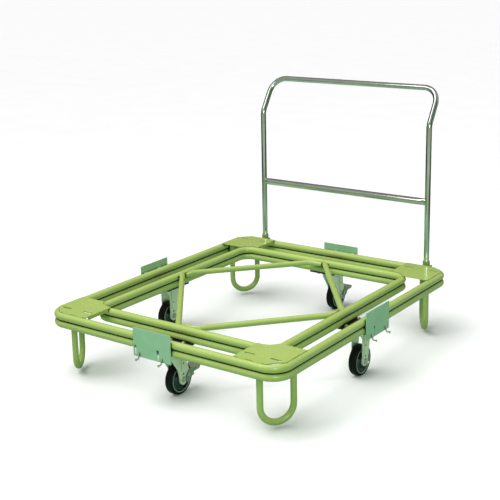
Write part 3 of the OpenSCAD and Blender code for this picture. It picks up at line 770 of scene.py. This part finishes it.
bolts = Shape()
mount_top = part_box("caster_mounts_side")[1].z
plate_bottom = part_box("rigid_fork_left")[1].z - 0.004
caster_centres = [mid("left_hub"), mid("right_hub"), mid("front_hub") - TRAIL, mid("back_hub") - TRAIL]
for centre in caster_centres:
    for dx in (-PLATE_BOLT_X, PLATE_BOLT_X):
        for dy in (-PLATE_BOLT_Y, PLATE_BOLT_Y):
            plate_bolt(bolts, centre.x + dx, centre.y + dy, plate_bottom, mount_top)
stand_for(bolts.build("caster_plate_bolts", 30), FRAME, "fastener_zinc", "caster_bolts")

# ---------------------------------------------------------------- weld beads

def bead(shape, path, radius, seed, closed=False):
    """Rippled weld bead along a path, half sunk into the metal it joins."""
    path = [Vector(p) for p in path]

    def size(t):
        ripple = 0.10 * math.sin(t * len(path) * 2.4) + 0.12 * noise.noise(Vector((t * 9.0, seed, 0)))
        ends = 1.0 if closed else min(1.0, 0.35 + 6 * t, 0.35 + 6 * (1 - t))
        return radius * (1 + ripple) * ends

    shape.sweep(path, size, 10, closed)


def saddle(origin, direction, tube_r, target, target_dir, target_r, steps=40):
    """Closed curve where a tube's surface meets another tube's surface."""
    origin, direction = Vector(origin), Vector(direction).normalized()
    target, target_dir = Vector(target), Vector(target_dir).normalized()
    up = Vector((0, 0, 1))
    across = direction.cross(up).normalized()
    path = []
    for i in range(steps):
        a = math.tau * i / steps
        start = origin + across * (tube_r * math.cos(a)) + up * (tube_r * math.sin(a))
        flat_dir = direction - target_dir * direction.dot(target_dir)
        offset = (start - target) - target_dir * (start - target).dot(target_dir)
        qa = flat_dir.dot(flat_dir)
        qb = 2 * flat_dir.dot(offset)
        qc = offset.dot(offset) - target_r * target_r
        root = max(qb * qb - 4 * qa * qc, 0.0)
        path.append(start + direction * ((-qb - math.sqrt(root)) / (2 * qa)))
    return path


def straight(start, end, steps):
    """Even points on a line."""
    start, end = Vector(start), Vector(end)
    return [start.lerp(end, i / steps) for i in range(steps + 1)]


welds = Shape()
seed = 0
ACROSS_X = Vector((1, 0, 0))
ACROSS_Y = Vector((0, 1, 0))
LEVELS = (UPPER_Z, LOWER_Z)

# Feet: two short beads up each leg. Corner plates: stitches along their two outer edges.
LEG_A = Vector((OUTER_HX - RING_R - TUBE_R - TOUCH, 0.465, 0))
LEG_B = Vector((0.399, OUTER_HY - RING_R - TUBE_R - TOUCH, 0))
LEG_BEAD_HALF = 0.009
STITCH = 0.034
STITCH_R = 0.0019
STITCHES_X = (0.330, 0.392)
STITCHES_Y = (0.436, 0.500)
for sx in (-1, 1):
    for sy in (-1, 1):
        for leg, out in ((LEG_A, ACROSS_X), (LEG_B, ACROSS_Y)):
            side = Vector((-out.y, out.x, 0))
            for hand in (1, -1):
                foot = leg + out * (TUBE_R - 0.0004) + side * hand * 0.0042
                low = Vector((sx * foot.x, sy * foot.y + CART_Y, LOWER_Z - LEG_BEAD_HALF))
                high = Vector((low.x, low.y, LOWER_Z + LEG_BEAD_HALF))
                bead(welds, straight(low, high, 14), 0.0022, seed)
                seed += 1
        plate_z = DECK_Z + 0.0004
        edge_y = sy * (OUTER_HY - 0.0002) + CART_Y
        for x in STITCHES_X:
            path = straight((sx * x, edge_y, plate_z), (sx * (x + STITCH), edge_y, plate_z), 22)
            bead(welds, path, STITCH_R, seed)
            seed += 1
        edge_x = sx * (OUTER_HX - 0.0002)
        for y in STITCHES_Y:
            start = (edge_x, sy * y + CART_Y, plate_z)
            end = (edge_x, sy * (y + STITCH) + CART_Y, plate_z)
            bead(welds, straight(start, end, 22), STITCH_R, seed)
            seed += 1

# Link plates: a bead on both sides of each strip, round the front of each ring tube.
STRIP_EDGES = ((0.062, -1), (0.062, 1), (-0.020, 1), (-0.020, -1))
STRIP_HALF = 0.0063
LINK_SIDES = ((1, OUTER_HY, -ACROSS_Y), (-1, OUTER_HX, ACROSS_X),
              (-1, OUTER_HY, ACROSS_Y), (1, OUTER_HX, -ACROSS_X))
for hand, reach, out in LINK_SIDES:
    across = Vector((-out.y, out.x, 0))
    for strip, edge in STRIP_EDGES:
        for z in LEVELS:
            path = []
            for i in range(13):
                a = math.radians(-50 + 100 * i / 12)
                forward = reach + (RING_R + TOUCH) * math.cos(a)
                lift = Vector((0, CART_Y, z + (RING_R + TOUCH) * math.sin(a)))
                path.append(out * forward + across * hand * (strip + edge * STRIP_HALF) + lift)
            bead(welds, path, 0.0017, seed)
            seed += 1

# Braces: saddle beads round the straight ones, short beads over the ends of the bent ones.
straight_from = Vector((0.006, INNER_HY + 0.006, 0))
straight_to = Vector((INNER_HX, -0.029, 0))
run = (straight_to - straight_from).normalized()
centre = (straight_from + straight_to) / 2
UPPER_CENTRE = Vector((0, CART_Y, UPPER_Z))
BRACE_BEAD_R = 0.0022
BRACE_BEAD_Z = UPPER_Z + 0.0035
for turn in (1, -1):
    origin = turn * centre + UPPER_CENTRE
    side_tube = (turn * INNER_HX, CART_Y, UPPER_Z)
    end_tube = (0, turn * INNER_HY + CART_Y, UPPER_Z)
    at_side = saddle(origin, turn * run, TUBE_R, side_tube, (0, 1, 0), RING_R)
    at_end = saddle(origin, -turn * run, TUBE_R, end_tube, (1, 0, 0), RING_R)
    bead(welds, at_side, BRACE_BEAD_R, seed, True)
    bead(welds, at_end, BRACE_BEAD_R, seed + 1, True)
    seed += 2
    near_y = -turn * (INNER_HY - RING_R - 0.0002) + CART_Y
    path = straight((turn * 0.001, near_y, BRACE_BEAD_Z), (turn * 0.030, near_y, BRACE_BEAD_Z), 20)
    bead(welds, path, 0.002, seed)
    near_x = turn * (INNER_HX - RING_R - 0.0002)
    start = (near_x, -turn * 0.038 + CART_Y, BRACE_BEAD_Z)
    end = (near_x, -turn * 0.058 + CART_Y, BRACE_BEAD_Z)
    bead(welds, straight(start, end, 14), 0.002, seed + 1)
    seed += 2

# Caster mount plates: a short bead beside each ring tube near each of their ends.
MOUNT_BEAD_HALF = 0.012
MOUNT_BEAD_IN = 0.016
MOUNTS = (
    ("caster_mounts_side", 0.062, INNER_HX, OUTER_HX, ACROSS_X, ACROSS_Y),
    ("caster_mounts_end", 0.055, INNER_HY, OUTER_HY, ACROSS_Y, ACROSS_X),
)
for node, half, inner, outer, across, along in MOUNTS:
    level = Vector((0, CART_Y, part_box(node)[1].z + 0.0008))
    for s in (-1, 1):
        for tube, inward in ((inner, 1), (outer, -1)):
            for end in (-1, 1):
                spot = level + across * s * (tube + inward * 0.0052) + along * end * (half - MOUNT_BEAD_IN)
                path = straight(spot - along * MOUNT_BEAD_HALF, spot + along * MOUNT_BEAD_HALF, 16)
                bead(welds, path, 0.0021, seed)
                seed += 1

# Handle sockets: two upright beads at each ring tube.
SOCKET_BEAD_HALF = 0.007
SOCKET_BEAD_X = 0.0075
SOCKET_R = 0.014
bead_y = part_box("handle_sockets")[0].y + SOCKET_R - 0.0119
upright_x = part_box("handle_tube")[1].x - TUBE_R
for s in (-1, 1):
    for hand in (-1, 1):
        x = s * upright_x + hand * SOCKET_BEAD_X
        for z in LEVELS:
            path = straight((x, bead_y, z - SOCKET_BEAD_HALF), (x, bead_y, z + SOCKET_BEAD_HALF), 12)
            bead(welds, path, 0.0020, seed)
            seed += 1

stand_for(welds.build("frame_weld_beads", 80), FRAME, "frame_paint")

# ---------------------------------------------------------------- handle

def handle_path():
    """Centreline of the handle from the left socket floor round to the right one."""
    lo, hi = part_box("handle_tube")
    half = hi.x - TUBE_R
    base_y = lo.y + TUBE_R
    top_z = hi.z - TUBE_R
    lean_y = base_y + HANDLE_BEND_R * (1 - math.cos(HANDLE_LEAN))
    lean_z = LEAN_START_Z + HANDLE_BEND_R * math.sin(HANDLE_LEAN)
    length = (top_z - lean_z) / math.cos(HANDLE_LEAN)
    along = Vector((0, math.sin(HANDLE_LEAN), math.cos(HANDLE_LEAN)))
    side = [Vector((0, base_y, lo.z)), Vector((0, base_y, lo.z + 0.2)), Vector((0, base_y, lo.z + 0.4))]
    for i in range(11):
        a = HANDLE_LEAN * i / 10
        bend_y = base_y + HANDLE_BEND_R * (1 - math.cos(a))
        side.append(Vector((0, bend_y, LEAN_START_Z + HANDLE_BEND_R * math.sin(a))))
    origin = Vector((0, lean_y, lean_z))
    corner = []
    for i in range(15):
        a = math.radians(90 * i / 14)
        across = half - HANDLE_CORNER_R + HANDLE_CORNER_R * math.cos(a)
        up = length - HANDLE_CORNER_R + HANDLE_CORNER_R * math.sin(a)
        corner.append(origin + along * up + Vector((across, 0, 0)))
    right = [Vector((half, p.y, p.z)) for p in side] + corner
    last = corner[-1]
    opposite = Vector((-last.x, last.y, last.z))
    top = [last.lerp(opposite, k / 8) for k in range(1, 8)]
    left = [Vector((-p.x, p.y, p.z)) for p in reversed(right)]
    return right + top + left


handle = Shape()
handle.sweep(handle_path(), TUBE_R, 48)
stand_for(handle.build("handle_bent_tube", 50), "handle", "handle_chrome", "handle_tube")

bar_lo, bar_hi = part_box("handle_crossbar")
bar_mid = (bar_lo + bar_hi) / 2
bar_r = (bar_hi.z - bar_lo.z) / 2
bar_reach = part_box("handle_tube")[1].x - 2 * TUBE_R + 0.003
BAR_CRUSHED = 0.022


def bar_squeeze(t):
    """The crossbar's ends are crushed to the uprights' width over the last stretch."""
    end = min(t, 1 - t) * 2 * bar_reach
    k = max(0.0, 1 - end / BAR_CRUSHED)
    k = k * k * (3 - 2 * k)
    return (1 - 0.24 * k, 1)


steps = [0, 0.002, 0.006, 0.010, 0.014, 0.018, 0.022, 0.03]
steps += [bar_reach * k for k in (0.5, 1.0, 1.5)] + [2 * bar_reach - s for s in reversed(steps)]
bar_start = bar_mid - Vector((bar_reach, 0, 0))
crossbar = Shape()
crossbar.sweep([bar_start + Vector((s, 0, 0)) for s in steps], bar_r, 48, squeeze=bar_squeeze)
stand_for(crossbar.build("handle_cross_tube", 50), "handle", "handle_chrome", "handle_crossbar")

sockets = rounded_copy("handle_sockets", "socket_collars", 0.0008, 2)
stand_for(sockets, FRAME, "socket_dark", "handle_sockets")

# ---------------------------------------------------------------- studio

ROOM_LIGHT = ((0.0, 0.12), (0.15, 0.16), (0.7, 0.40))
ROOM_REFLECTION = ((0.0, 0.05), (0.10, 0.03), (0.5, 0.03), (0.9, 0.35))
# Pale panels round the cart, seen in reflections only: direction, fade from edge to middle, tone
PANELS = (
    ((0.53, -0.83, 0.15), (0.60, 0.92), (0.36, 0.42, 0.35)),
    ((-0.56, -0.68, 0.46), (0.80, 0.96), (0.42, 0.46, 0.40)),
    ((0.60, 0.72, 0.30), (0.78, 0.96), (0.50, 0.62, 0.54)),
)


def floor():
    """One large flat sheet of pale paper."""
    size = 45.0
    mesh = bpy.data.meshes.new("studio_floor")
    corners = [(-size, -size, 0), (size, -size, 0), (size, size, 0), (-size, size, 0)]
    mesh.from_pydata(corners, [], [(0, 1, 2, 3)])
    sheet = bpy.data.objects.new("studio_floor", mesh)
    bpy.context.scene.collection.objects.link(sheet)
    mesh.materials.append(studio_floor())


def softbox(name, place, aim, size, power, colour=(1, 1, 1)):
    """Rectangular lamp at a place, aimed at a point, with its power in watts."""
    data = bpy.data.lights.new(name, "AREA")
    data.shape = "RECTANGLE"
    data.size, data.size_y = size
    data.energy = power
    data.color = colour
    lamp = bpy.data.objects.new(name, data)
    lamp.location = place
    lamp.rotation_euler = (Vector(aim) - Vector(place)).to_track_quat("-Z", "Y").to_euler()
    bpy.context.scene.collection.objects.link(lamp)


def wide_sun(name, toward_light, spread, strength):
    """Even overhead light with soft shadows that reaches the whole floor alike."""
    data = bpy.data.lights.new(name, "SUN")
    data.energy = strength
    data.angle = math.radians(spread)
    lamp = bpy.data.objects.new(name, data)
    lamp.rotation_euler = Vector(toward_light).to_track_quat("Z", "Y").to_euler()
    lamp.visible_glossy = False
    bpy.context.scene.collection.objects.link(lamp)


def sky():
    """Studio surround: white paper behind, dim room light, darker still in reflections."""
    world = bpy.data.worlds.new("studio")
    world.use_nodes = True
    bpy.context.scene.world = world
    tree = world.node_tree
    back = tree.nodes["Background"]
    place = tree.nodes.new("ShaderNodeTexCoord")
    split = tree.nodes.new("ShaderNodeSeparateXYZ")
    tree.links.new(place.outputs["Generated"], split.inputs[0])
    rays = tree.nodes.new("ShaderNodeLightPath")
    height = []
    for stops in (ROOM_LIGHT, ROOM_REFLECTION):
        ramp = tree.nodes.new("ShaderNodeValToRGB")
        band = ramp.color_ramp
        while len(band.elements) < len(stops):
            band.elements.new(0.5)
        for element, (position, grey) in zip(band.elements, stops):
            element.position = position
            element.color = (grey, grey, grey, 1)
        tree.links.new(split.outputs["Z"], ramp.inputs["Fac"])
        height.append(ramp.outputs["Color"])
    mirrored = height[1]
    for side, span, tone in PANELS:
        facing = tree.nodes.new("ShaderNodeVectorMath")
        facing.operation = "DOT_PRODUCT"
        tree.links.new(place.outputs["Generated"], facing.inputs[0])
        facing.inputs[1].default_value = Vector(side).normalized()
        lit = tree.nodes.new("ShaderNodeMapRange")
        lit.inputs["From Min"].default_value, lit.inputs["From Max"].default_value = span
        tree.links.new(facing.outputs["Value"], lit.inputs["Value"])
        panel = tree.nodes.new("ShaderNodeMix")
        panel.data_type = "RGBA"
        tree.links.new(lit.outputs["Result"], panel.inputs["Factor"])
        tree.links.new(mirrored, panel.inputs[6])
        panel.inputs[7].default_value = (*tone, 1)
        mirrored = panel.outputs[2]
    shiny = tree.nodes.new("ShaderNodeMix")
    shiny.data_type = "RGBA"
    tree.links.new(rays.outputs["Is Glossy Ray"], shiny.inputs["Factor"])
    tree.links.new(height[0], shiny.inputs[6])
    tree.links.new(mirrored, shiny.inputs[7])
    seen = tree.nodes.new("ShaderNodeMix")
    seen.data_type = "RGBA"
    tree.links.new(rays.outputs["Is Camera Ray"], seen.inputs["Factor"])
    tree.links.new(shiny.outputs[2], seen.inputs[6])
    seen.inputs[7].default_value = (1, 1, 1, 1)
    tree.links.new(seen.outputs[2], back.inputs["Color"])
    back.inputs["Strength"].default_value = 1.0


def camera():
    """The photograph's own viewpoint, set out from the centre of the upper ring."""
    data = bpy.data.cameras.new("photo_camera")
    data.sensor_width = 36.0
    data.lens = 75.06
    data.shift_y = -0.10
    view = bpy.data.objects.new("photo_camera", data)
    yaw, pitch, roll = math.radians(35.7), math.radians(13.4), math.radians(-1.09)
    ahead = Vector((-math.sin(yaw) * math.cos(pitch), math.cos(yaw) * math.cos(pitch), -math.sin(pitch)))
    right = Vector((math.cos(yaw), math.sin(yaw), 0))
    up = right.cross(ahead)
    tilted_right = right * math.cos(roll) + up * math.sin(roll)
    tilted_up = up * math.cos(roll) - right * math.sin(roll)
    turn = Matrix((tilted_right, tilted_up, -ahead)).transposed().to_4x4()
    place = Vector((2.1420, -3.0197 + CART_Y, 1.2371 + UPPER_Z))
    view.matrix_world = Matrix.Translation(place) @ turn
    bpy.context.scene.collection.objects.link(view)
    bpy.context.scene.camera = view


floor()
sky()
softbox("overhead_strip", (-0.6, -0.9, 3.2), (0, 0, 0.2), (0.6, 2.4), 22)
softbox("front_softbox", (3.2, -3.2, 1.9), (0, 0, 0.4), (1.0, 1.4), 52, (0.74, 1.0, 0.80))
wide_sun("room_light", (-0.30, -0.25, 1.0), 65, 2.5)
camera()
bpy.context.scene.view_settings.view_transform = "Standard"
